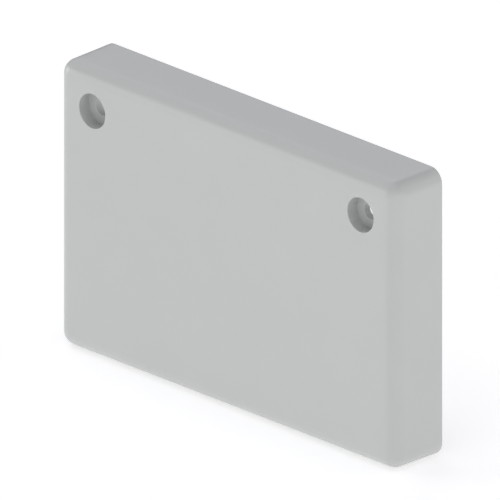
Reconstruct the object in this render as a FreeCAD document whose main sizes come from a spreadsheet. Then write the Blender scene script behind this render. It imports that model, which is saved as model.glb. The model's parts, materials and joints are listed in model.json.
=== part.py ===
import FreeCAD, Part
import math
import os

import Sketcher
from FreeCAD import Placement, Rotation, Vector

# Profile end cap: one moulded plastic cover that is screwed over the end of a frame profile.
# It is a shallow box, open at the back, with drafted walls and rounded front edges and corners.
# Two counterbored screw holes sit near its top corners, each through a thicker pad inside.
#
# It is drawn as it comes out of its mould: the rim lies on the XY plane, the front wall is
# uppermost, X runs along the width and Y points to the top edge. Its placement then stands it up,
# so that Z points up, the front face looks along -Y, and the origin is the centre of the back rim.

SIZES = [
    ("width", 100.0, "overall, at the rim"),
    ("height", 65.0, "overall, at the rim"),
    ("depth", 14.0, "from the rim to the front face"),
    ("edge_radius", 3.2, "rounding of the front edges and the outer corners"),
    ("draft_angle", 0.6, "degrees by which each wall leans in towards the front"),
    ("front_thickness", 2.5, "front wall"),
    ("wall_thickness", 2.5, "side walls, at the rim"),
    ("inner_radius", 0.8, "rounding of the hollow's corners and floor"),
    ("screw_from_side", 10.3, "from each side of the rim to the axis of the screw near it"),
    ("screw_below_top", 9.1, "from the top of the rim to the screw axes"),
    ("screw_hole_diameter", 3.6, "clears a 3.5 mm screw"),
    ("head_recess_diameter", 7.7, "clears a 7 mm screw head"),
    ("head_recess_depth", 3.0, "sinks the screw head below the front face"),
    ("pad_height", 2.2, "by which a screw pad stands behind the front wall"),
    ("pad_reach", 5.5, "from a screw's axis to the free edges of its pad"),
    ("pad_edge_radius", 0.4, "rounding of a pad's free edges"),
]

HOLLOW_WIDTH = "sizes.width - 2 * sizes.wall_thickness"
HOLLOW_HEIGHT = "sizes.height - 2 * sizes.wall_thickness"
HOLLOW_DEPTH = "sizes.depth - sizes.front_thickness"
PAD_BACK = "sizes.depth - sizes.front_thickness - sizes.pad_height"
SCREW_X = "sizes.width / 2 - sizes.screw_from_side"
SCREW_Y = "sizes.height / 2 - sizes.screw_below_top"
IN_SIDE_WALL = "(sizes.width - sizes.wall_thickness) / 2"
IN_TOP_WALL = "(sizes.height - sizes.wall_thickness) / 2"

START, END, CENTRE = 1, 2, 3
ORIGIN = -1
TOUCHING = 1e-4
QUARTER_TURN = 90


def add_size_sheet(doc):
    """A spreadsheet with one driving dimension in each row: its name, its value and its meaning."""
    sheet = doc.addObject("Spreadsheet::Sheet", "sizes")
    for row, (alias, value, meaning) in enumerate(SIZES, start=1):
        sheet.set(f"A{row}", alias)
        sheet.set(f"B{row}", str(value))
        sheet.setAlias(f"B{row}", alias)
        sheet.set(f"C{row}", meaning)
    doc.recompute()


def origin_plane(body, role):
    """One of the body's own origin planes, by its role."""
    return [plane for plane in body.Origin.OriginFeatures if plane.Role == role][0]


def add_sketch(body, name, above_rim="0"):
    """A sketch parallel to the rim and this far above it, which faces the way the front does."""
    sketch = body.newObject("Sketcher::SketchObject", name)
    sketch.AttachmentSupport = (origin_plane(body, "XY_Plane"), [""])
    sketch.MapMode = "FlatFace"
    sketch.AttachmentOffset = Placement(Vector(0, 0, 0), Rotation())
    sketch.setExpression("AttachmentOffset.Base.z", above_rim)
    return sketch


def constrain(sketch, kind, *elements):
    """A geometric rule between elements of the sketch."""
    sketch.addConstraint(Sketcher.Constraint(kind, *elements))


def bind(sketch, name, expression, kind, *elements):
    """A named dimension of the sketch whose value comes from the sheet."""
    value = sketch.evalExpression(expression)
    index = sketch.addConstraint(Sketcher.Constraint(kind, *elements, value))
    sketch.renameConstraint(index, name)
    sketch.setExpression(f"Constraints.{name}", expression)


def draw_lines(sketch, corners):
    """Joined lines from each corner to the next. Returns their numbers in the sketch."""
    ends = zip(corners, corners[1:])
    lines = [sketch.addGeometry(Part.LineSegment(start, end)) for start, end in ends]
    for line, following in zip(lines, lines[1:]):
        constrain(sketch, "Coincident", line, END, following, START)
    return lines


def draw_centred_rectangle(sketch, width, height):
    """A rectangle about the sketch's origin, with its width and height bound to the sheet."""
    x = sketch.evalExpression(width) / 2
    y = sketch.evalExpression(height) / 2
    corners = [Vector(-x, -y, 0), Vector(x, -y, 0), Vector(x, y, 0), Vector(-x, y, 0)]
    bottom, right, top, left = draw_lines(sketch, corners + corners[:1])
    constrain(sketch, "Coincident", left, END, bottom, START)
    for line in (bottom, top):
        constrain(sketch, "Horizontal", line)
    for line in (left, right):
        constrain(sketch, "Vertical", line)
    constrain(sketch, "Symmetric", bottom, START, right, END, ORIGIN, START)
    bind(sketch, "width", width, "DistanceX", bottom, START, bottom, END)
    bind(sketch, "height", height, "DistanceY", right, START, right, END)


def centre_on_screw_axis(sketch, circle):
    """Centres a circle or an arc on the right screw's axis."""
    bind(sketch, "screw_x", SCREW_X, "DistanceX", ORIGIN, START, circle, CENTRE)
    bind(sketch, "screw_y", SCREW_Y, "DistanceY", ORIGIN, START, circle, CENTRE)


def named_where(elements, prefix, is_wanted):
    """The names, such as Edge3, of those edges or faces for which the test holds."""
    return [f"{prefix}{number}" for number, item in enumerate(elements, start=1) if is_wanted(item)]


def add_fillet(doc, body, name, base, is_rounded, radius):
    """Rounds those edges of the base feature for which the test holds."""
    fillet = body.newObject("PartDesign::Fillet", name)
    fillet.Base = (base, named_where(base.Shape.Edges, "Edge", is_rounded))
    fillet.setExpression("Radius", radius)
    doc.recompute()
    return fillet


def add_draft(doc, body, name, base, is_wall, faces_inwards):
    """Tilts those walls for which the test holds, each about the line where it meets the rim."""
    draft = body.newObject("PartDesign::Draft", name)
    draft.Base = (base, named_where(base.Shape.Faces, "Face", is_wall))
    draft.NeutralPlane = (origin_plane(body, "XY_Plane"), [""])
    draft.Reversed = faces_inwards
    draft.setExpression("Angle", "sizes.draft_angle")
    doc.recompute()
    return draft


def leaves_the_rim(element):
    """Whether an edge or a face isn't wholly in the plane of the rim."""
    return element.BoundBox.ZMax > TOUCHING


def starts_at_the_rim(element):
    """Whether an edge or a face reaches down to the plane of the rim."""
    return element.BoundBox.ZMin < TOUCHING


def add_block(doc, body):
    """The outer form: a block that narrows towards the front, rounded everywhere but at the rim."""
    outline = add_sketch(body, "rim_outline")
    draw_centred_rectangle(outline, "sizes.width", "sizes.height")
    block = body.newObject("PartDesign::Pad", "block")
    block.Profile = outline
    block.setExpression("Length", "sizes.depth")
    doc.recompute()

    def is_side(face):
        return leaves_the_rim(face) and starts_at_the_rim(face)

    drafted = add_draft(doc, body, "drafted_block", block, is_side, faces_inwards=False)
    return add_fillet(doc, body, "rounded_block", drafted, leaves_the_rim, "sizes.edge_radius")


def is_in_the_hollow(body, element):
    """Whether an edge or a face of the body bounds the hollow, and isn't part of the rim."""
    box = element.BoundBox
    half_width = body.evalExpression(HOLLOW_WIDTH) / 2 + TOUCHING
    half_height = body.evalExpression(HOLLOW_HEIGHT) / 2 + TOUCHING
    within_width = -half_width < box.XMin and box.XMax < half_width
    within_height = -half_height < box.YMin and box.YMax < half_height
    above_floor = box.ZMax > body.evalExpression(HOLLOW_DEPTH) + TOUCHING
    return within_width and within_height and leaves_the_rim(element) and not above_floor


def add_hollow(doc, body):
    """The hollow behind the front wall, cut from the rim and drafted as the outside is."""
    outline = add_sketch(body, "hollow_outline")
    draw_centred_rectangle(outline, HOLLOW_WIDTH, HOLLOW_HEIGHT)
    hollow = body.newObject("PartDesign::Pocket", "hollow")
    hollow.Profile = outline
    hollow.Reversed = True
    hollow.setExpression("Length", HOLLOW_DEPTH)
    doc.recompute()

    def is_wall(face):
        return is_in_the_hollow(body, face) and starts_at_the_rim(face)

    return add_draft(doc, body, "drafted_hollow", hollow, is_wall, faces_inwards=True)


def draw_pad_outline(sketch):
    """A quarter round about the right screw's axis, carried on squarely into the two walls."""
    screw_x = sketch.evalExpression(SCREW_X)
    screw_y = sketch.evalExpression(SCREW_Y)
    wall_x = sketch.evalExpression(IN_SIDE_WALL)
    wall_y = sketch.evalExpression(IN_TOP_WALL)
    reach = sketch.evalExpression("sizes.pad_reach")
    corners = [
        Vector(screw_x, screw_y - reach, 0),
        Vector(wall_x, screw_y - reach, 0),
        Vector(wall_x, wall_y, 0),
        Vector(screw_x - reach, wall_y, 0),
        Vector(screw_x - reach, screw_y, 0),
    ]
    lower_edge, in_side_wall, in_top_wall, inner_edge = draw_lines(sketch, corners)
    around_screw = Part.Circle(Vector(screw_x, screw_y, 0), Vector(0, 0, 1), reach)
    free_round = sketch.addGeometry(Part.ArcOfCircle(around_screw, math.pi, math.pi * 3 / 2))
    constrain(sketch, "Tangent", inner_edge, END, free_round, START)
    constrain(sketch, "Tangent", free_round, END, lower_edge, START)
    for line in (lower_edge, in_top_wall):
        constrain(sketch, "Horizontal", line)
    for line in (inner_edge, in_side_wall):
        constrain(sketch, "Vertical", line)
    bind(sketch, "reach", "sizes.pad_reach", "Radius", free_round)
    centre_on_screw_axis(sketch, free_round)
    bind(sketch, "wall_x", IN_SIDE_WALL, "DistanceX", ORIGIN, START, in_side_wall, END)
    bind(sketch, "wall_y", IN_TOP_WALL, "DistanceY", ORIGIN, START, in_side_wall, END)


def add_screw_pad(doc, body):
    """The thicker part of the front wall behind the right screw, run into the corner's two walls."""
    outline = add_sketch(body, "screw_pad_outline", HOLLOW_DEPTH)
    draw_pad_outline(outline)
    pad = body.newObject("PartDesign::Pad", "screw_pad")
    pad.Profile = outline
    pad.Reversed = True
    pad.setExpression("Length", "sizes.pad_height")
    doc.recompute()
    return pad


def add_screw_hole(doc, body):
    """The right screw's hole, right through its pad, with a flat recess for the screw's head."""
    spot = add_sketch(body, "screw_spot", "sizes.depth")
    centre = Vector(spot.evalExpression(SCREW_X), spot.evalExpression(SCREW_Y), 0)
    radius = spot.evalExpression("sizes.screw_hole_diameter") / 2
    circle = spot.addGeometry(Part.Circle(centre, Vector(0, 0, 1), radius))
    bind(spot, "diameter", "sizes.screw_hole_diameter", "Diameter", circle)
    centre_on_screw_axis(spot, circle)
    doc.recompute()
    hole = body.newObject("PartDesign::Hole", "screw_hole")
    hole.Profile = spot
    hole.ThreadType = "None"
    hole.DepthType = "ThroughAll"
    hole.DrillPoint = "Flat"
    hole.HoleCutType = "Counterbore"
    hole.setExpression("Diameter", "sizes.screw_hole_diameter")
    hole.setExpression("HoleCutDiameter", "sizes.head_recess_diameter")
    hole.setExpression("HoleCutDepth", "sizes.head_recess_depth")
    doc.recompute()
    return hole


def mirror_to_the_left(doc, body, *features):
    """The same features again on the other side of the cap's middle plane."""
    mirrored = body.newObject("PartDesign::Mirrored", "left_screw")
    mirrored.Originals = list(features)
    mirrored.MirrorPlane = (origin_plane(body, "YZ_Plane"), [""])
    body.Tip = mirrored
    doc.recompute()
    return mirrored


def round_pads(doc, body, base):
    """Rounds the free edges of the two pads, which come no nearer to their screw than its reach."""
    screw_x = body.evalExpression(SCREW_X)
    screw_y = body.evalExpression(SCREW_Y)
    back_z = body.evalExpression(PAD_BACK)
    reach = body.evalExpression("sizes.pad_reach")
    screws = [Part.Vertex(side * screw_x, screw_y, back_z) for side in (-1, 1)]

    def is_free(edge):
        distance = min(edge.distToShape(screw)[0] for screw in screws)
        on_back_of_pad = abs(edge.BoundBox.ZMin - back_z) + abs(edge.BoundBox.ZMax - back_z) < TOUCHING
        return on_back_of_pad and abs(distance - reach) < TOUCHING

    return add_fillet(doc, body, "rounded_pads", base, is_free, "sizes.pad_edge_radius")


def round_hollow(doc, body, base):
    """Rounds the hollow's four corners, and its floor all round and along the roots of the pads."""
    floor_z = body.evalExpression(HOLLOW_DEPTH)

    def is_corner_or_root(edge):
        in_the_floor = edge.BoundBox.ZMin > floor_z - TOUCHING
        return is_in_the_hollow(body, edge) and (starts_at_the_rim(edge) or in_the_floor)

    return add_fillet(doc, body, "rounded_hollow", base, is_corner_or_root, "sizes.inner_radius")


def add_end_cap(doc):
    """The whole cap, as one body, in the order in which its form is built up, and stood upright."""
    body = doc.addObject("PartDesign::Body", "end_cap")
    body.Label = "end_cap"
    block = add_block(doc, body)
    shell = add_hollow(doc, body)
    pad = add_screw_pad(doc, body)
    hole = add_screw_hole(doc, body)
    both_screws = mirror_to_the_left(doc, body, pad, hole)
    rounded_pads = round_pads(doc, body, both_screws)
    body.Tip = round_hollow(doc, body, rounded_pads)
    body.Placement = Placement(Vector(0, 0, 0), Rotation(Vector(1, 0, 0), QUARTER_TURN))
    doc.recompute()
    for whole, cut in [(block, shell), (pad, hole)]:
        if cut.Shape.Volume > whole.Shape.Volume - TOUCHING:
            raise RuntimeError(f"{cut.Name} removes nothing")
    return body


def check(doc, bodies):
    """Stops at an object that failed, or at a body that isn't one valid solid."""
    for item in doc.Objects:
        if {"Invalid", "Error"} & set(item.State):
            raise RuntimeError(f"{item.Name} failed: {item.State}")
    for body in bodies:
        if body.Shape.isNull() or not body.Shape.isValid() or len(body.Shape.Solids) != 1:
            raise RuntimeError(f"{body.Label} isn't one valid solid")


def export(bodies):
    """Writes each body to a file of its own name."""
    os.makedirs("parts", exist_ok=True)
    for body in bodies:
        body.Shape.exportStep(f"parts/{body.Label}.step")
        print(body.Label, round(body.Shape.Volume), "mm3", body.Shape.BoundBox)


def main():
    doc = FreeCAD.newDocument("profile_end_cap")
    add_size_sheet(doc)
    bodies = [add_end_cap(doc)]
    check(doc, bodies)
    export(bodies)


main()
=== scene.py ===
"""Profile end cap: a light grey moulded cover, dressed and lit as in its product picture.

The cover is one moulding, so it is one piece here as well. Its skin is worked out as grids of
points from the few sizes that a mould maker would give: the draft of the walls, the radii, the
thicknesses and the two counterbored screw seats. All lengths are in metres, in the frame of the
CAD model, where X runs to the right, Z up, and Y from the front to the open back at Y = 0.
"""

import json
import logging
import math
from dataclasses import dataclass
from enum import Enum

import bmesh
import bpy
import numpy as np
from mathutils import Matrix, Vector


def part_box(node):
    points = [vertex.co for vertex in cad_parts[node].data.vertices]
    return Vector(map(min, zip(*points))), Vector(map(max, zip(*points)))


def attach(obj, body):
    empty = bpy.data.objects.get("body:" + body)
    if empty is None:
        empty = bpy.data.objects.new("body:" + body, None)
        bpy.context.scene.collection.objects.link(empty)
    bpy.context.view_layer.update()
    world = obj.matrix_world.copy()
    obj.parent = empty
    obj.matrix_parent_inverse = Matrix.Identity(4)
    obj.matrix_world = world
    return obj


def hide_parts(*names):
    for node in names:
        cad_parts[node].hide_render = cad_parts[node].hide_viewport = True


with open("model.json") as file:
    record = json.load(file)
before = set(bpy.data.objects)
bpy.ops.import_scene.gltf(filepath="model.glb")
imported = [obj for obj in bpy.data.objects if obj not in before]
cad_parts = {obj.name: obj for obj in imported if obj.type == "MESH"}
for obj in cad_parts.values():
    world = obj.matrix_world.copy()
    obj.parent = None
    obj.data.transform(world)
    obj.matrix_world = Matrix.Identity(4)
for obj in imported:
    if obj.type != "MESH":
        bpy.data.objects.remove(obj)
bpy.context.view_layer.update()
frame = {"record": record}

log = logging.getLogger("end_cap")

MM = 0.001
NODE = "end_cap"
BODY = "root"
TOUCHING = 0.001 * MM  # points nearer together than this are one point
IMAGE_SIDE = 500  # of the square picture, in pixels
NEUTRAL = (1.0, 1.0, 1.0)
COOL = (0.986, 0.979, 1.043)
OPAQUE = 1.0
WIDE = 60.0  # how wide the broader lamps look from the cap, in degrees


class Side(Enum):
    """The half of the cap that a patch belongs to, as the sign of X there."""

    RIGHT = 1.0
    LEFT = -1.0


class Closure(Enum):
    """Whether the columns of a grid of points meet again at their end."""

    OPEN = 0
    RING = 1


# Grids and skins


@dataclass(frozen=True)
class Patch:
    """A grid of points that covers part of the skin.

    Attributes:
        points: an array of rows by columns by three coordinates.
        closure: whether the last column meets the first.
        holes: rows by columns of faces, true where a face is left out, or None.
    """

    points: np.ndarray
    closure: Closure = Closure.OPEN
    holes: np.ndarray | None = None

    def faces(self) -> np.ndarray:
        """Corner numbers of the grid's four-sided faces.

        Face (i, j) has the corners (i, j), (i, j + 1), (i + 1, j + 1) and (i + 1, j), and on a ring
        column j + 1 is counted round.

        Returns:
            An array of faces by four point numbers.
        """
        rows, columns = self.points.shape[:2]
        spans = columns - 1 + self.closure.value
        row, column = np.meshgrid(np.arange(rows - 1), np.arange(spans), indexing="ij")
        following = (column + 1) % columns
        corners = [(row, column), (row, following), (row + 1, following), (row + 1, column)]
        faces = np.stack([r * columns + c for r, c in corners], axis=-1)
        return faces.reshape(-1, 4) if self.holes is None else faces[~self.holes]

    def on_side(self, side: Side) -> "Patch":
        """The same patch on the given side of the cap's middle plane.

        Args:
            side: the half where the patch goes.

        Returns:
            The patch, with X taken times the sign of that half.
        """
        return Patch(self.points * (side.value, 1.0, 1.0), self.closure, self.holes)


def closed_mesh(name: str, patches: list[Patch]) -> bpy.types.Mesh:
    """Joins patches into one closed skin whose faces point outwards.

    Points that lie on the same spot are merged. A face whose corners fell together is then a
    triangle, or is dropped.

    Args:
        name: the mesh's name.
        patches: grids that share their border points.

    Returns:
        The mesh.
    """
    counts = [patch.points.shape[0] * patch.points.shape[1] for patch in patches]
    firsts = np.cumsum([0] + counts[:-1])
    points = np.concatenate([patch.points.reshape(-1, 3) for patch in patches])
    faces = np.concatenate([patch.faces() + first for patch, first in zip(patches, firsts)])
    used, corners = np.unique(faces, return_inverse=True)
    mesh = bpy.data.meshes.new(name)
    mesh.from_pydata(points[used].tolist(), [], corners.reshape(-1, 4).tolist())
    skin = bmesh.new()
    skin.from_mesh(mesh)
    bmesh.ops.remove_doubles(skin, verts=skin.verts, dist=TOUCHING)
    bmesh.ops.dissolve_degenerate(skin, edges=skin.edges, dist=TOUCHING)
    bmesh.ops.recalc_face_normals(skin, faces=skin.faces)
    skin.to_mesh(mesh)
    skin.free()
    return mesh


def shade_by_area(mesh: bpy.types.Mesh) -> None:
    """Gives each point the mean normal of the faces round it, weighted by their area.

    Flats keep their own normal up to the last row of points, and the roundings between them shade
    smoothly from one flat to the next.

    Args:
        mesh: the mesh to shade.
    """
    loops, faces, points = len(mesh.loops), len(mesh.polygons), len(mesh.vertices)
    corner_point = np.empty(loops, np.int32)
    mesh.loops.foreach_get("vertex_index", corner_point)
    corners_per_face = np.empty(faces, np.int32)
    mesh.polygons.foreach_get("loop_total", corners_per_face)
    area = np.empty(faces)
    mesh.polygons.foreach_get("area", area)
    normal = np.empty(faces * 3)
    mesh.polygons.foreach_get("normal", normal)
    weighted = np.repeat(normal.reshape(-1, 3) * area[:, None], corners_per_face, axis=0)
    total = np.zeros((points, 3))
    np.add.at(total, corner_point, weighted)
    total /= np.linalg.norm(total, axis=1, keepdims=True)
    mesh.shade_smooth()
    mesh.normals_split_custom_set_from_vertices(total.tolist())


def between(start: np.ndarray, end: np.ndarray, shares: np.ndarray) -> np.ndarray:
    """Points on straight stretches, one stretch for each row.

    Each point is start + share * (end - start).

    Args:
        start: rows by two plan coordinates.
        end: the same for the other end.
        shares: how far along each point lies, from 0 to 1.

    Returns:
        Rows by points by two plan coordinates.
    """
    return start[:, None, :] + shares[None, :, None] * (end - start)[:, None, :]


def around(centre: np.ndarray, radius: np.ndarray, angles: np.ndarray) -> np.ndarray:
    """Points on circles, one circle for each row.

    Each point is centre + radius * (cos angle, sin angle).

    Args:
        centre: rows by two plan coordinates.
        radius: one radius for each row.
        angles: the points' angles, in radians.

    Returns:
        Rows by points by two plan coordinates.
    """
    directions = np.stack([np.cos(angles), np.sin(angles)], axis=-1)
    return centre[:, None, :] + radius[:, None, None] * directions[None, :, :]


def pair(x: np.ndarray | float, z: np.ndarray | float) -> np.ndarray:
    """Plan coordinates X and Z side by side, one pair for each row."""
    return np.stack(np.broadcast_arrays(x, z), axis=-1).astype(float)


def at_depth(plan: np.ndarray, depth: np.ndarray | float) -> np.ndarray:
    """Lays plan points into space.

    The rim lies at Y = 0 and the front looks along -Y, so a point at a depth has Y = -depth.

    Args:
        plan: any grid of points with X and Z.
        depth: how far each row lies from the rim.

    Returns:
        The same grid with X, Y and Z.
    """
    y = -np.broadcast_to(np.reshape(depth, (-1, 1)), plan.shape[:2])
    return np.stack([plan[..., 0], y, plan[..., 1]], axis=-1)


def eased_line(corners: np.ndarray, ease: float, count: int) -> np.ndarray:
    """A line of right-angled corners, each rounded by an arc of one radius.

    With u and v as the unit directions from a corner to its two neighbours, the arc's points are
    corner + ease * (u + v) - ease * (v cos t + u sin t), with t from nought to a right angle.

    Args:
        corners: points by two coordinates, first and last included.
        ease: the radius of the arcs.
        count: how many points each arc has.

    Returns:
        The points of the rounded line.
    """
    middle = corners[1:-1]
    back = corners[:-2] - middle
    on = corners[2:] - middle
    back /= np.linalg.norm(back, axis=1, keepdims=True)
    on /= np.linalg.norm(on, axis=1, keepdims=True)
    turn = np.linspace(0, math.pi / 2, count)[None, :, None]
    centre = (middle + ease * (back + on))[:, None, :]
    arcs = centre - ease * (on[:, None, :] * np.cos(turn) + back[:, None, :] * np.sin(turn))
    return np.concatenate([corners[:1], arcs.reshape(-1, 2), corners[-1:]])


# The forms of the moulding


@dataclass(frozen=True)
class Levels:
    """What the outline is at each of several depths, one entry for each level.

    Attributes:
        depth: how far the level lies from the rim.
        half_x: from the middle to the side walls.
        half_z: from the middle to the top and bottom walls.
        radius: the rounding of the corners.
        reach: from a screw's axis to the free edges of its pad, where the level has pads.
    """

    depth: np.ndarray
    half_x: np.ndarray
    half_z: np.ndarray
    radius: np.ndarray
    reach: np.ndarray

    @classmethod
    def of(cls, *values: np.ndarray | float) -> "Levels":
        """Levels from lists, where a single number stands for the same at each level."""
        return cls(*[value.astype(float) for value in np.broadcast_arrays(*values)])

    def first(self) -> "Levels":
        """The first of these levels alone."""
        return Levels(*[values[:1] for values in vars(self).values()])

    def followed_by(self, *others: "Levels") -> "Levels":
        """These levels with the others after them."""
        columns = zip(*[vars(part).values() for part in (self, *others)])
        return Levels(*[np.concatenate(column) for column in columns])


@dataclass(frozen=True)
class DraftedForm:
    """A box that narrows with depth, its corners and its far edges rounded by the same ball.

    The outside of the cap is such a form, and so is its hollow.

    Attributes:
        half_x: half the width, at the rim.
        half_z: half the height, at the rim.
        depth: from the rim to the far face.
        radius: the ball's radius.
        draft: the angle by which the walls lean in, in radians.
    """

    half_x: float
    half_z: float
    depth: float
    radius: float
    draft: float

    def walls(self, depth: np.ndarray, growth: np.ndarray | float = 0.0,
              reach: np.ndarray | float = 0.0) -> Levels:
        """Levels on the straight walls.

        At a depth the walls stand in by that depth times the draft's tangent.

        Args:
            depth: the levels' depths.
            growth: by how much the outline is larger than the walls there.
            reach: the pad's reach there.

        Returns:
            The levels.
        """
        inset = depth * math.tan(self.draft) - growth
        radius = self.radius / math.cos(self.draft) + growth
        return Levels.of(depth, self.half_x - inset, self.half_z - inset, radius, reach)

    def far_edge(self, count: int, reach: np.ndarray | float = 0.0) -> Levels:
        """Levels on the rounding between the walls and the far face.

        The ball's centre keeps one radius away from the walls and the far face. At angle t the
        outline lies at centre + radius * cos t, at the depth centre + radius * sin t, with t from
        the draft to a right angle.

        Args:
            count: how many levels there are.
            reach: the pad's reach there.

        Returns:
            The levels, from the walls to the far face.
        """
        turn = self.far_turn(count)
        centre = self.depth - self.radius
        core = centre * math.tan(self.draft) + self.radius / math.cos(self.draft)
        bulge = self.radius * np.cos(turn)
        return Levels.of(centre + self.radius * np.sin(turn), self.half_x - core + bulge,
                         self.half_z - core + bulge, bulge, reach)

    def far_turn(self, count: int) -> np.ndarray:
        """The angles of the levels on the far rounding."""
        return np.linspace(self.draft, math.pi / 2, count)

    def far_face(self) -> tuple[float, float]:
        """Half the width and half the height of the far face, inside its rounding."""
        edge = self.far_edge(2)
        return edge.half_x[-1], edge.half_z[-1]

    def wall_end(self) -> float:
        """The depth at which the walls run into the far rounding."""
        return self.depth - self.radius + self.radius * math.sin(self.draft)


@dataclass(frozen=True)
class Lines:
    """How finely the skin is divided. The counts are numbers of faces.

    Attributes:
        middle: between the middle plane and a screw's block.
        low: between the bottom and a screw's block.
        block: across the square block round a screw, each way.
        side_margin: between the block and the side's rounding.
        top_margin: between the block and the top's rounding.
        corner: round a corner.
        walls: up the walls, between the rim and what ends them.
        pad_side: along the pad's free edge that runs to the side wall.
        pad_top: along the pad's free edge that runs to the top wall.
        front_edge: round the front edge.
        floor_edge: round the hollow's floor edge.
        ease: round an eased edge.
        pad_edge: round a pad's free edge.
        pad_rings: from a pad's hole to its border.
        recess_rings: from a recess to the border of its block.
        floor: from the floor's edge to its middle line.
    """

    middle: int = 22
    low: int = 24
    block: int = 24
    side_margin: int = 2
    top_margin: int = 1
    corner: int = 10
    walls: int = 4
    pad_side: int = 9
    pad_top: int = 9
    front_edge: int = 14
    floor_edge: int = 7
    ease: int = 3
    pad_edge: int = 4
    pad_rings: int = 5
    recess_rings: int = 4
    floor: int = 10

    @property
    def ring(self) -> int:
        """Faces round a screw."""
        return 4 * self.block

    @property
    def pad_round(self) -> int:
        """Faces round the quarter round of a pad, which is what the ring has left for it."""
        beside_walls = 2 * self.block + self.side_margin + self.top_margin + self.corner
        return self.ring - beside_walls - self.pad_side - self.pad_top


@dataclass(frozen=True)
class ScrewSeat:
    """A screw hole with a flat recess for the screw's head.

    Attributes:
        x: from the middle plane to the axis.
        z: height of the axis.
        hole_radius: radius of the hole.
        recess_radius: radius of the recess.
        recess_floor: depth of the recess's floor, counted from the rim.
    """

    x: float
    z: float
    hole_radius: float
    recess_radius: float
    recess_floor: float

    def angles(self, count: int) -> np.ndarray:
        """Angles of the points round the screw, from the lower outer corner of its block."""
        return -math.pi / 4 + np.arange(count) * 2 * math.pi / count

    def circle(self, radius: np.ndarray, count: int) -> np.ndarray:
        """Circles about the axis, one for each radius.

        Args:
            radius: the circles' radii.
            count: how many points each has.

        Returns:
            Rows by points by two plan coordinates.
        """
        centre = np.broadcast_to((self.x, self.z), (len(radius), 2))
        return around(centre, radius, self.angles(count))

    def rings(self, radius: float, border: np.ndarray, count: int) -> np.ndarray:
        """Rows of points between a circle about the axis and a border round it.

        Each row lies at (1 - share) * circle + share * border.

        Args:
            radius: the circle's radius.
            border: one row by points by two plan coordinates.
            count: how many faces lie between the circle and the border.

        Returns:
            Rows by points by two plan coordinates.
        """
        circle = self.circle(np.array([radius]), border.shape[1])
        share = np.linspace(0, 1, count + 1)[:, None, None]
        return (1 - share) * circle + share * border


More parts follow.
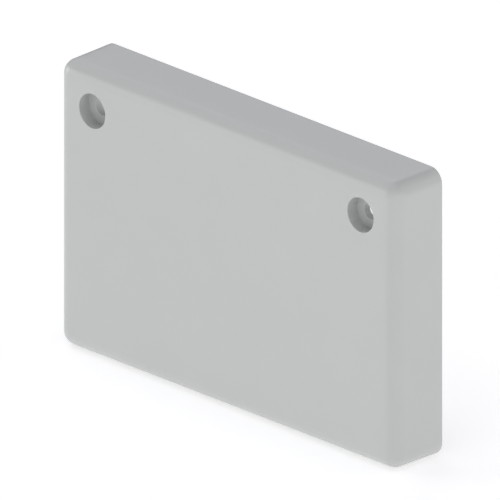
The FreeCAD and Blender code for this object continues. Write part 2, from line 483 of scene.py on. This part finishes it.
@dataclass
class EndCap:
    """The cap: a shallow open-backed box with two counterbored screw seats in thicker pads.

    Attributes:
        edge_radius: rounding of the front edges and the outer corners.
        draft: the angle by which each wall leans in towards the front, in degrees.
        front_thickness: the front wall.
        wall_thickness: the side walls, at the rim.
        inner_radius: rounding of the hollow's corners and floor.
        recess_radius: half the width of the recess for a screw's head.
        recess_depth: how deep that recess is.
        pad_height: by which a pad stands behind the front wall.
        pad_reach: from a screw's axis to the free edges of its pad.
        pad_edge_radius: rounding of a pad's free edges.
        rim_ease: rounding of the rim's two edges.
        mouth_ease: rounding of the edges in and round the screw seats.
        middle_line: half the length of the line where the floor's rows meet.
    """

    edge_radius: float = 3.2 * MM
    draft: float = 0.6
    front_thickness: float = 2.5 * MM
    wall_thickness: float = 2.5 * MM
    inner_radius: float = 0.8 * MM
    recess_radius: float = 3.85 * MM
    recess_depth: float = 3.0 * MM
    pad_height: float = 2.2 * MM
    pad_reach: float = 5.5 * MM
    pad_edge_radius: float = 0.4 * MM
    rim_ease: float = 0.15 * MM
    mouth_ease: float = 0.1 * MM
    middle_line: float = 20.0 * MM
    lines: Lines = Lines()

    def __post_init__(self) -> None:
        """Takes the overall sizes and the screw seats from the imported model."""
        low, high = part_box(NODE)
        self.depth = -low.y
        angle = math.radians(self.draft)
        self.outside = DraftedForm(high.x, high.z, self.depth, self.edge_radius, angle)
        floor_depth = self.depth - self.front_thickness
        self.hollow = DraftedForm(high.x - self.wall_thickness, high.z - self.wall_thickness,
                                  floor_depth, self.inner_radius, angle)
        self.pad_back = floor_depth - self.pad_height
        self.back_reach = self.pad_reach - self.pad_edge_radius
        mount = next(m for m in frame["record"]["mounts"] if m["kind"] == "bolt_pattern")
        self.seat = ScrewSeat(mount["dims"]["spacing_x_mm"] * MM / 2, mount["pos_m"][2],
                              mount["dims"]["hole_r_mm"] * MM, self.recess_radius,
                              self.depth - self.recess_depth)

    def block_lines(self, start: float, middle: float, end: float, margin: int) -> np.ndarray:
        """Lines across a screw's block and on to the rounding beside it.

        Args:
            start: where the block begins.
            middle: where the screw's axis is, in the block's middle.
            end: where the rounding begins.
            margin: how many faces lie between the block and the rounding.

        Returns:
            The places of the lines, first and last included.
        """
        block_end = 2 * middle - start
        block = np.linspace(start, block_end, self.lines.block + 1)
        return np.concatenate([block, np.linspace(block_end, end, margin + 1)[1:]])

    def lines_across(self) -> np.ndarray:
        """Lines over the front's right half, from the middle plane to the side's rounding.

        Returns:
            The places of the lines along X.
        """
        block_start = self.seat.x - self.pad_reach
        side, _ = self.outside.far_face()
        inner = np.linspace(0, block_start, self.lines.middle + 1)[:-1]
        outer = self.block_lines(block_start, self.seat.x, side, self.lines.side_margin)
        return np.concatenate([inner, outer])

    def lines_up(self) -> np.ndarray:
        """Lines over the front, from the bottom's rounding to the top's.

        Returns:
            The places of the lines along Z.
        """
        block_start = self.seat.z - self.pad_reach
        _, top = self.outside.far_face()
        lower = np.linspace(-top, block_start, self.lines.low + 1)[:-1]
        upper = self.block_lines(block_start, self.seat.z, top, self.lines.top_margin)
        return np.concatenate([lower, upper])

    def shares(self, lines: np.ndarray, skipped: int) -> np.ndarray:
        """How far along their stretch the lines past a screw block's start lie, from 0 to 1.

        Args:
            lines: the front's lines one way.
            skipped: how many of them come before the block.

        Returns:
            The shares, first and last included.
        """
        stretch = lines[skipped:]
        return (stretch - stretch[0]) / (stretch[-1] - stretch[0])

    def lower_outline(self, levels: Levels, break_x: np.ndarray,
                      break_z: np.ndarray) -> list[np.ndarray]:
        """The outline's right half, from the bottom's middle to the height of the screw's block.

        Args:
            levels: the outline at each depth.
            break_x: where the bottom's spacing changes, below the block's start.
            break_z: where the stretch ends on the side wall.

        Returns:
            The stretches, each without its last point.
        """
        inner_x = levels.half_x - levels.radius
        inner_z = levels.half_z - levels.radius
        even = np.arange(self.lines.middle) / self.lines.middle
        wide = self.shares(self.lines_across(), self.lines.middle)[:-1]
        low = np.arange(self.lines.low) / self.lines.low
        quarter = np.linspace(-math.pi / 2, 0, self.lines.corner + 1)[:-1]
        return [
            between(pair(0.0, -levels.half_z), pair(break_x, -levels.half_z), even),
            between(pair(break_x, -levels.half_z), pair(inner_x, -levels.half_z), wide),
            around(pair(inner_x, -inner_z), levels.radius, quarter),
            between(pair(levels.half_x, -inner_z), pair(levels.half_x, break_z), low),
        ]

    def wall_stretches(self, levels: Levels, break_x: np.ndarray,
                       break_z: np.ndarray) -> list[np.ndarray]:
        """The outline beside the screw's block: up the side wall, round the corner, along the top.

        Args:
            levels: the outline at each depth.
            break_x: where the stretch ends on the top wall.
            break_z: where it begins on the side wall.

        Returns:
            The stretches, each without its last point.
        """
        inner_x = levels.half_x - levels.radius
        inner_z = levels.half_z - levels.radius
        high = self.shares(self.lines_up(), self.lines.low)[:-1]
        wide = 1 - self.shares(self.lines_across(), self.lines.middle)[:0:-1]
        quarter = np.linspace(0, math.pi / 2, self.lines.corner + 1)[:-1]
        return [
            between(pair(levels.half_x, break_z), pair(levels.half_x, inner_z), high),
            around(pair(inner_x, inner_z), levels.radius, quarter),
            between(pair(inner_x, levels.half_z), pair(break_x, levels.half_z), wide),
        ]

    def pad_stretches(self, levels: Levels) -> list[np.ndarray]:
        """The pad's free edge, from the side wall round the screw and up to the top wall.

        Args:
            levels: the outline and the pad's reach at each depth.

        Returns:
            The stretches, each without its last point.
        """
        low_z = self.seat.z - levels.reach
        near_x = self.seat.x - levels.reach
        side = np.arange(self.lines.pad_side) / self.lines.pad_side
        top = np.arange(self.lines.pad_top) / self.lines.pad_top
        quarter = np.linspace(-math.pi / 2, -math.pi, self.lines.pad_round + 1)[:-1]
        return [
            between(pair(levels.half_x, low_z), pair(self.seat.x, low_z), side),
            around(pair(np.full_like(near_x, self.seat.x), self.seat.z), levels.reach, quarter),
            between(pair(near_x, self.seat.z), pair(near_x, levels.half_z), top),
        ]

    def top_stretch(self, levels: Levels, break_x: np.ndarray) -> np.ndarray:
        """The outline along the top wall, from the screw's block to the middle plane."""
        even = np.arange(self.lines.middle + 1) / self.lines.middle
        return between(pair(break_x, levels.half_z), pair(0.0, levels.half_z), even)

    def outline(self, levels: Levels, reach: float) -> np.ndarray:
        """The right half of the whole outline at each level, past the pads as if there were none.

        Args:
            levels: the outline at each depth.
            reach: how far the block reaches from the screw's axis, where the spacing changes.

        Returns:
            Rows by points by three coordinates.
        """
        break_x = np.full_like(levels.depth, self.seat.x - reach)
        break_z = np.full_like(levels.depth, self.seat.z - reach)
        stretches = [*self.lower_outline(levels, break_x, break_z),
                     *self.wall_stretches(levels, break_x, break_z),
                     self.top_stretch(levels, break_x)]
        return at_depth(np.concatenate(stretches, axis=1), levels.depth)

    def floor_outline(self, levels: Levels) -> np.ndarray:
        """The right half of the outline between the pads' backs and the floor, round the pads.

        Args:
            levels: the outline and the pad's reach at each depth.

        Returns:
            Rows by points by three coordinates.
        """
        break_x = self.seat.x - levels.reach
        break_z = self.seat.z - levels.reach
        stretches = [*self.lower_outline(levels, break_x, break_z), *self.pad_stretches(levels),
                     self.top_stretch(levels, break_x)]
        return at_depth(np.concatenate(stretches, axis=1), levels.depth)

    def eased_rim(self, form: DraftedForm, outwards: float) -> Levels:
        """Levels on the eased edge between the rim's flat and a wall.

        At angle t the edge lies at ease * (1 - sin t) from the rim's plane and at
        ease * (1 - cos t) from the wall, with t from a right angle to nought.

        Args:
            form: the form whose wall it is.
            outwards: 1 for the hollow's edge, which widens towards the rim, or -1 for the outer.

        Returns:
            The levels, from the rim's flat to the wall.
        """
        turn = np.linspace(math.pi / 2, 0, self.lines.ease + 1)
        growth = outwards * self.rim_ease * (1 - np.cos(turn))
        return form.walls(self.rim_ease * (1 - np.sin(turn)), growth)

    def outer_skin(self) -> list[Patch]:
        """The outer walls, between the eased edge of the rim and the rounded front edge.

        Returns:
            One patch.
        """
        depths = np.linspace(self.rim_ease, self.outside.wall_end(), self.lines.walls + 1)
        walls = self.outside.walls(depths[1:-1])
        front_edge = self.outside.far_edge(self.lines.front_edge + 1)
        levels = self.eased_rim(self.outside, -1).followed_by(walls, front_edge)
        return [Patch(self.outline(levels, self.pad_reach))]

    def rim(self) -> list[Patch]:
        """The flat ring that seats on the profile, between the two eased edges.

        Returns:
            One patch.
        """
        outer = self.outline(self.eased_rim(self.outside, -1), self.pad_reach)
        inner = self.outline(self.eased_rim(self.hollow, 1), self.back_reach)
        return [Patch(np.concatenate([outer[:1], inner[:1]]))]

    def hollow_walls(self) -> list[Patch]:
        """The hollow's walls, from the rim to the plane of the pads' backs.

        Returns:
            One patch.
        """
        depths = np.linspace(self.rim_ease, self.pad_back, self.lines.walls + 1)
        levels = self.eased_rim(self.hollow, 1).followed_by(self.hollow.walls(depths[1:]))
        return [Patch(self.outline(levels, self.back_reach))]

    def pad_edge(self) -> Levels:
        """Levels on the rounded free edge of the pads.

        At angle t the edge lies at radius * (1 - sin t) past the pad's back and at
        radius * (1 - cos t) inside its reach, with t from a right angle to nought.

        Returns:
            The levels, from the pad's back to its side.
        """
        turn = np.linspace(math.pi / 2, 0, self.lines.pad_edge + 1)
        depth = self.pad_back + self.pad_edge_radius * (1 - np.sin(turn))
        reach = self.pad_reach - self.pad_edge_radius * (1 - np.cos(turn))
        return self.hollow.walls(depth, reach=reach)

    def floor_levels(self) -> Levels:
        """Levels from the pads' backs down their sides and over the rounding to the floor.

        Over the rounding a pad's side flares by radius * (1 - cos t), as the walls round it do.

        Returns:
            The levels.
        """
        count = self.lines.floor_edge + 1
        flare = self.inner_radius * (1 - np.cos(self.hollow.far_turn(count)))
        return self.pad_edge().followed_by(self.hollow.far_edge(count, self.pad_reach + flare))

    def floor(self) -> list[Patch]:
        """The pads' sides, the rounded edge of the floor, and the floor itself.

        The floor's rows shrink its outline towards the middle line: each row lies at
        share * outline + (1 - share) * (nearest place on the line).

        Returns:
            The patch round the floor, and the floor's own.
        """
        edge = self.floor_outline(self.floor_levels())
        border = edge[-1:]
        line = border * (1.0, 1.0, 0.0)
        line[..., 0] = np.minimum(line[..., 0], self.middle_line)
        share = np.linspace(1, 0, self.lines.floor + 1)[:, None, None]
        return [Patch(edge), Patch(share * border + (1 - share) * line)]

    def pad_back_face(self) -> list[Patch]:
        """The flat back of a pad, in rings between its border and its eased hole.

        Returns:
            One patch.
        """
        first = self.pad_edge().first()
        walls = self.wall_stretches(first, self.seat.x - first.reach, self.seat.z - first.reach)
        end = pair(self.seat.x - first.reach, first.half_z)[:, None, :]
        free = np.concatenate(self.pad_stretches(first), axis=1)
        border = np.concatenate([*walls, end, free[:, :0:-1]], axis=1)
        hole_edge = self.seat.hole_radius + self.mouth_ease
        rings = self.seat.rings(hole_edge, border, self.lines.pad_rings)
        return [Patch(at_depth(rings, self.pad_back), Closure.RING)]

    def screw_hole(self) -> list[Patch]:
        """The recess, its floor and the hole: one profile turned about the screw's axis.

        Returns:
            One patch.
        """
        seat, ease = self.seat, self.mouth_ease
        wide, narrow = seat.recess_radius, seat.hole_radius
        corners = np.array([
            (wide + ease, self.depth),
            (wide, self.depth),
            (wide, seat.recess_floor),
            (narrow, seat.recess_floor),
            (narrow, self.pad_back),
            (narrow + ease, self.pad_back),
        ])
        profile = eased_line(corners, ease, self.lines.ease + 1)
        rings = seat.circle(profile[:, 0], self.lines.ring)
        return [Patch(at_depth(rings, profile[:, 1]), Closure.RING)]

    def block_border(self) -> np.ndarray:
        """The border of a screw's square block, from its lower outer corner round the screw.

        Its four sides run up, inwards, down and outwards, each worked out on a square that
        reaches from -1 to 1 and then made as large as the block.

        Returns:
            One row by points by two plan coordinates.
        """
        edge = np.linspace(-1, 1, self.lines.block + 1)[:-1]
        one = np.ones_like(edge)
        sides = [(one, edge), (-edge, one), (-one, -edge), (edge, -one)]
        square = np.concatenate([np.stack(side, axis=-1) for side in sides]) * self.pad_reach
        return square[None] + (self.seat.x, self.seat.z)

    def front(self) -> list[Patch]:
        """The front face: a grid of lines, with rings between each recess and its square block.

        Returns:
            The grid, which leaves the block out, and the rings.
        """
        across, up = self.lines_across(), self.lines_up()
        grid = np.stack(np.meshgrid(across, up, indexing="ij"), axis=-1)
        block = np.zeros((len(across) - 1, len(up) - 1), bool)
        first_x, first_z, size = self.lines.middle, self.lines.low, self.lines.block
        block[first_x:first_x + size, first_z:first_z + size] = True
        mouth_edge = self.seat.recess_radius + self.mouth_ease
        rings = self.seat.rings(mouth_edge, self.block_border(), self.lines.recess_rings)
        return [Patch(at_depth(grid, self.depth), holes=block),
                Patch(at_depth(rings, self.depth), Closure.RING)]

    def build(self, material: bpy.types.Material) -> bpy.types.Object:
        """Makes the cap's piece, which stands for the CAD node.

        Args:
            material: its finish.

        Returns:
            The piece.
        """
        parts = [self.outer_skin(), self.rim(), self.hollow_walls(), self.floor(),
                 self.pad_back_face(), self.screw_hole(), self.front()]
        right = [patch for part in parts for patch in part]
        mesh = closed_mesh("moulded_cap", [patch.on_side(side) for side in Side for patch in right])
        shade_by_area(mesh)
        mesh.materials.append(material)
        piece = bpy.data.objects.new("moulded_cap", mesh)
        bpy.context.scene.collection.objects.link(piece)
        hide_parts(NODE)
        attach(piece, BODY)
        return piece


# Finishes


class Socket(Enum):
    """The kinds of value that a node group takes or gives."""

    NUMBER = "NodeSocketFloat"
    PLACE = "NodeSocketVector"


@dataclass
class Wiring:
    """A node tree with short ways to add and join its nodes.

    Attributes:
        tree: the tree.
        material: the material that it belongs to, if any.
    """

    tree: bpy.types.NodeTree
    material: bpy.types.Material | None = None

    def node(self, kind: str, **settings: object) -> bpy.types.Node:
        """Adds a node.

        Args:
            kind: the node's type.
            settings: its own settings, by name.

        Returns:
            The node.
        """
        made = self.tree.nodes.new(kind)
        for name, value in settings.items():
            setattr(made, name, value)
        return made

    def feed(self, node: bpy.types.Node, **values: object) -> None:
        """Sets a node's inputs, or joins them to the sockets that are given.

        Args:
            node: the node.
            values: numbers, colours or sockets by the input's name, with spaces as underscores.
        """
        for name, value in values.items():
            socket = node.inputs[name.replace("_", " ")]
            if isinstance(value, bpy.types.NodeSocket):
                self.tree.links.new(value, socket)
            else:
                socket.default_value = value

    def ranged(self, value: bpy.types.NodeSocket, low: float, high: float) -> bpy.types.NodeSocket:
        """Turns a value from 0 to 1 into one from low to high.

        Args:
            value: the socket that gives it.
            low: what 0 becomes.
            high: what 1 becomes.

        Returns:
            The socket that gives the result.
        """
        made = self.node("ShaderNodeMapRange")
        self.feed(made, Value=value, To_Min=low, To_Max=high)
        return made.outputs["Result"]

    def finish(self, shader: bpy.types.Node) -> bpy.types.Material:
        """Joins the shader to the material's output.

        Args:
            shader: the material's shader.

        Returns:
            The material.
        """
        self.feed(self.node("ShaderNodeOutputMaterial"), Surface=shader.outputs["BSDF"])
        return self.material


GRAIN_GROUP = "fine_grain"
GRAIN_NOISE = {"Detail": 3.0, "Roughness": 0.6}
CLOUD_NOISE = {"Detail": 2.0, "Roughness": 0.45}
PIT_SMOOTHNESS = 0.6
PIT_SHARE = 0.5  # how much of the pits is added to the grain


def fine_grain() -> bpy.types.NodeTree:
    """The group for the grain of a surface, with its own sizes in millimetres.

    Height is a fine grain of rounded pits, and Cloud is a broad soft variation. It is made at
    its first use.

    Returns:
        The group.
    """
    if GRAIN_GROUP in bpy.data.node_groups:
        return bpy.data.node_groups[GRAIN_GROUP]
    group = bpy.data.node_groups.new(GRAIN_GROUP, "ShaderNodeTree")
    inputs = {"Place": Socket.PLACE, "Grain Size": Socket.NUMBER, "Cloud Size": Socket.NUMBER}
    for label, kind in inputs.items():
        group.interface.new_socket(name=label, in_out="INPUT", socket_type=kind.value)
    for label in ("Height", "Cloud"):
        group.interface.new_socket(name=label, in_out="OUTPUT", socket_type=Socket.NUMBER.value)
    wiring = Wiring(group)
    given = wiring.node("NodeGroupInput")
    grain = wiring.node("ShaderNodeTexNoise")
    pits = wiring.node("ShaderNodeTexVoronoi", feature="SMOOTH_F1")
    cloud = wiring.node("ShaderNodeTexNoise")
    scales = []
    for label in ("Grain Size", "Cloud Size"):
        scale = wiring.node("ShaderNodeMath", operation="DIVIDE")
        scale.inputs[0].default_value = 1.0
        group.links.new(given.outputs[label], scale.inputs[1])
        scales.append(scale.outputs[0])
    place = given.outputs["Place"]
    wiring.feed(grain, Vector=place, Scale=scales[0], **GRAIN_NOISE)
    wiring.feed(pits, Vector=place, Scale=scales[0], Smoothness=PIT_SMOOTHNESS)
    wiring.feed(cloud, Vector=place, Scale=scales[1], **CLOUD_NOISE)
    both = wiring.node("ShaderNodeMath", operation="MULTIPLY_ADD")
    group.links.new(pits.outputs["Distance"], both.inputs[0])
    both.inputs[1].default_value = PIT_SHARE
    group.links.new(grain.outputs["Fac"], both.inputs[2])
    out = wiring.node("NodeGroupOutput")
    group.links.new(both.outputs[0], out.inputs["Height"])
    group.links.new(cloud.outputs["Fac"], out.inputs["Cloud"])
    return group


def new_material(name: str) -> Wiring:
    """Starts an empty material.

    Args:
        name: the material's name.

    Returns:
        The material's wiring, to which its nodes are added.
    """
    material = bpy.data.materials.new(name)
    material.use_nodes = True
    material.node_tree.nodes.clear()
    return Wiring(material.node_tree, material)


def grain_node(wiring: Wiring, grain_mm: float, cloud_mm: float) -> bpy.types.Node:
    """Places the group of the fine grain in a material, on Object coordinates.

    Args:
        wiring: the material's wiring.
        grain_mm: size of the grain.
        cloud_mm: size of the cloud.

    Returns:
        The group's node.
    """
    place = wiring.node("ShaderNodeTexCoord")
    in_mm = wiring.node("ShaderNodeMapping")
    wiring.feed(in_mm, Vector=place.outputs["Object"], Scale=(1 / MM, 1 / MM, 1 / MM))
    grain = wiring.node("ShaderNodeGroup", node_tree=fine_grain())
    wiring.feed(grain, Place=in_mm.outputs["Vector"], Grain_Size=grain_mm, Cloud_Size=cloud_mm)
    return grain


@dataclass(frozen=True)
class MouldedPlastic:
    """Light grey plastic from a finely spark-eroded mould: satin, with a just visible flow cloud.

    Attributes:
        name: the material's name.
        darker: the colour in the darker parts of the cloud.
        lighter: the colour in its lighter parts.
        smooth: the lowest roughness.
        rough: the highest roughness.
        specular: the surface's reflectance level.
        grain_mm: size of the grain.
        cloud_mm: size of the cloud.
        grain_depth: height of the grain, in metres.
        grain_strength: how strongly the grain turns the light.
    """

    name: str
    darker: tuple[float, float, float]
    lighter: tuple[float, float, float]
    smooth: float
    rough: float
    specular: float
    grain_mm: float
    cloud_mm: float
    grain_depth: float
    grain_strength: float

    def build(self) -> bpy.types.Material:
        """Makes the material.

        Returns:
            The material, with its patterns on Object coordinates.
        """
        wiring = new_material(self.name)
        grain = grain_node(wiring, self.grain_mm, self.cloud_mm)
        colour = wiring.node("ShaderNodeValToRGB")
        for stop, shade in zip(colour.color_ramp.elements, (self.darker, self.lighter)):
            stop.color = (*shade, OPAQUE)
        wiring.feed(colour, Fac=grain.outputs["Cloud"])
        bump = wiring.node("ShaderNodeBump")
        wiring.feed(bump, Height=grain.outputs["Height"], Distance=self.grain_depth,
                    Strength=self.grain_strength)
        shader = wiring.node("ShaderNodeBsdfPrincipled")
        wiring.feed(shader, Base_Color=colour.outputs["Color"], Normal=bump.outputs["Normal"],
                    Roughness=wiring.ranged(grain.outputs["Height"], self.smooth, self.rough),
                    Specular_IOR_Level=self.specular)
        return wiring.finish(shader)


CAP_PLASTIC = MouldedPlastic(
    name="grey_satin_plastic",
    darker=(0.492, 0.504, 0.491),
    lighter=(0.51, 0.522, 0.509),
    smooth=0.26,
    rough=0.34,
    specular=0.5,
    grain_mm=0.3,
    cloud_mm=14.0,
    grain_depth=0.01 * MM,
    grain_strength=0.15,
)


@dataclass(frozen=True)
class WhitePaper:
    """Matt white studio paper, lit a little from behind so that it stays white round the cap.

    Attributes:
        name: the material's name.
        white: how much light it reflects.
        glow: the light that comes through it.
        smooth: the lowest roughness.
        rough: the highest roughness.
        cloud_mm: size of the broad differences in roughness.
    """

    name: str = "white_paper"
    white: float = 0.9
    glow: float = 0.378
    smooth: float = 0.85
    rough: float = 0.95
    cloud_mm: float = 60.0

    def build(self) -> bpy.types.Material:
        """Makes the material.

        Returns:
            The material, with its pattern on Object coordinates.
        """
        wiring = new_material(self.name)
        grain = grain_node(wiring, self.cloud_mm, self.cloud_mm)
        shader = wiring.node("ShaderNodeBsdfPrincipled")
        wiring.feed(shader, Base_Color=(self.white, self.white, self.white, OPAQUE),
                    Roughness=wiring.ranged(grain.outputs["Cloud"], self.smooth, self.rough),
                    Emission_Color=(*NEUTRAL, OPAQUE), Emission_Strength=self.glow)
        return wiring.finish(shader)


# The studio


@dataclass(frozen=True)
class SoftLight:
    """A broad round lamp, so far away that it lights the whole set evenly.

    Attributes:
        name: the lamp's name.
        azimuth: its direction from the cap, in degrees, counted as the camera's.
        elevation: its height above the horizon, in degrees.
        strength: the light on a surface that faces it, in watts per square metre.
        colour: its colour.
        width: how wide it looks from the cap, in degrees.
    """

    name: str
    azimuth: float
    elevation: float
    strength: float
    colour: tuple[float, float, float] = NEUTRAL
    width: float = 30.0

    def build(self) -> bpy.types.Object:
        """Makes the lamp.

        Returns:
            The lamp.
        """
        lamp = bpy.data.lights.new(self.name, "SUN")
        lamp.angle = math.radians(self.width)
        lamp.energy = self.strength
        lamp.color = self.colour
        made = bpy.data.objects.new(self.name, lamp)
        back = direction(self.azimuth, self.elevation)
        made.rotation_euler = (-back).to_track_quat("-Z", "Y").to_euler()
        bpy.context.scene.collection.objects.link(made)
        return made


def direction(azimuth: float, elevation: float) -> Vector:
    """The direction from the cap towards a place round it.

    Azimuth 0 is in front of the cap and 90 at its right side.

    Args:
        azimuth: in degrees.
        elevation: in degrees above the horizon.

    Returns:
        A vector of length one.
    """
    a, e = math.radians(azimuth), math.radians(elevation)
    return Vector((math.sin(a) * math.cos(e), -math.cos(a) * math.cos(e), math.sin(e)))


@dataclass
class Studio:
    """A pale floor, soft light and the camera.

    Attributes:
        azimuth: the camera's direction, in degrees.
        elevation: its height above the horizon, in degrees.
        pixels_per_mm: the picture's scale, which is the same all over it.
        centre_x: where the middle of the cap lies in the picture, in pixels from the left.
        centre_y: the same from the top.
        camera_distance: how far the camera stands away.
        floor_side: length of the floor's sides.
        ambient: brightness of the light that comes from everywhere.
        backdrop: brightness of the room where the camera sees past the floor.
        paper: the floor's finish.
        lights: the lamps, which were set from the shading of the picture.
    """

    azimuth: float = 45.0
    elevation: float = 22.76
    pixels_per_mm: float = 4.78
    centre_x: float = 249.85
    centre_y: float = 257.2
    camera_distance: float = 0.5
    floor_side: float = 6.0
    ambient: float = 0.06
    backdrop: float = 1.0
    paper: WhitePaper = WhitePaper()
    lights: tuple[SoftLight, ...] = (
        SoftLight("left_light", -60.0, 8.0, 1.13),
        SoftLight("front_light", 0.0, 8.0, 0.805, width=WIDE),
        SoftLight("front_right_light", 60.0, 8.0, 0.845, width=WIDE),
        SoftLight("right_light", 100.0, 8.0, 0.5),
        SoftLight("low_rear_light", 160.0, 8.0, 0.38),
        SoftLight("right_rear_light", 150.0, 22.0, 0.18),
        SoftLight("left_rear_light", -132.0, 34.0, 0.31, COOL),
        SoftLight("high_rear_light", 150.0, 45.0, 0.34, COOL, WIDE),
        SoftLight("high_left_light", -90.0, 47.0, 0.16, COOL),
        SoftLight("high_left_fill", -90.0, 50.0, 0.36, COOL, WIDE),
        SoftLight("high_right_fill", 45.0, 60.0, 0.33, COOL, WIDE),
        SoftLight("overhead_light", 0.0, 85.0, 0.345, COOL),
    )

    def camera(self, target: Vector) -> bpy.types.Object:
        """Makes the camera, which sees without perspective.

        Args:
            target: the middle of the cap.

        Returns:
            The camera.
        """
        data = bpy.data.cameras.new("camera")
        data.type = "ORTHO"
        data.ortho_scale = IMAGE_SIDE / self.pixels_per_mm * MM
        camera = bpy.data.objects.new("camera", data)
        back = direction(self.azimuth, self.elevation)
        turn = (-back).to_track_quat("-Z", "Y")
        right, up = turn @ Vector((1, 0, 0)), turn @ Vector((0, 1, 0))
        pixel = MM / self.pixels_per_mm
        aside = (IMAGE_SIDE / 2 - self.centre_x) * pixel
        above = (self.centre_y - IMAGE_SIDE / 2) * pixel
        camera.location = target + back * self.camera_distance + right * aside + up * above
        camera.rotation_euler = turn.to_euler()
        bpy.context.scene.collection.objects.link(camera)
        bpy.context.scene.camera = camera
        return camera

    def floor(self, height: float) -> bpy.types.Object:
        """Makes the floor, on which the cap's lower edge stands.

        Args:
            height: the floor's Z.

        Returns:
            The floor.
        """
        half = self.floor_side / 2
        x, y = np.meshgrid((-half, half), (-half, half), indexing="ij")
        patch = Patch(np.stack([x, y, np.full_like(x, height)], axis=-1))
        mesh = bpy.data.meshes.new("floor")
        mesh.from_pydata(patch.points.reshape(-1, 3).tolist(), [], patch.faces().tolist())
        mesh.materials.append(self.paper.build())
        floor = bpy.data.objects.new("floor", mesh)
        bpy.context.scene.collection.objects.link(floor)
        return floor

    def world(self) -> None:
        """Fills the room with faint even light, and shows the camera a white room."""
        world = bpy.data.worlds.new("studio")
        world.use_nodes = True
        wiring = Wiring(world.node_tree)
        path = wiring.node("ShaderNodeLightPath")
        strength = wiring.ranged(path.outputs["Is Camera Ray"], self.ambient, self.backdrop)
        background = world.node_tree.nodes["Background"]
        wiring.feed(background, Color=(*NEUTRAL, OPAQUE), Strength=strength)
        bpy.context.scene.world = world

    def build(self) -> list[bpy.types.Object]:
        """Makes everything round the cap, which stands on the floor before the camera.

        Returns:
            The floor, the lamps and the camera.
        """
        low, high = (Vector(corner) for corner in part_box(NODE))
        bpy.context.scene.view_settings.view_transform = "Standard"
        self.world()
        floor = self.floor(low.z)
        lamps = [light.build() for light in self.lights]
        return [floor, *lamps, self.camera((low + high) / 2)]


def main() -> None:
    """Builds the cap and the studio round it, and logs the cap's face count and each thing made."""
    logging.basicConfig(level=logging.INFO, format="%(name)s: %(message)s")
    cap = EndCap().build(CAP_PLASTIC.build())
    log.info("%s has %d faces", cap.name, len(cap.data.polygons))
    for made in Studio().build():
        log.info("%s is in place", made.name)


if __name__ == "__main__":
    main()
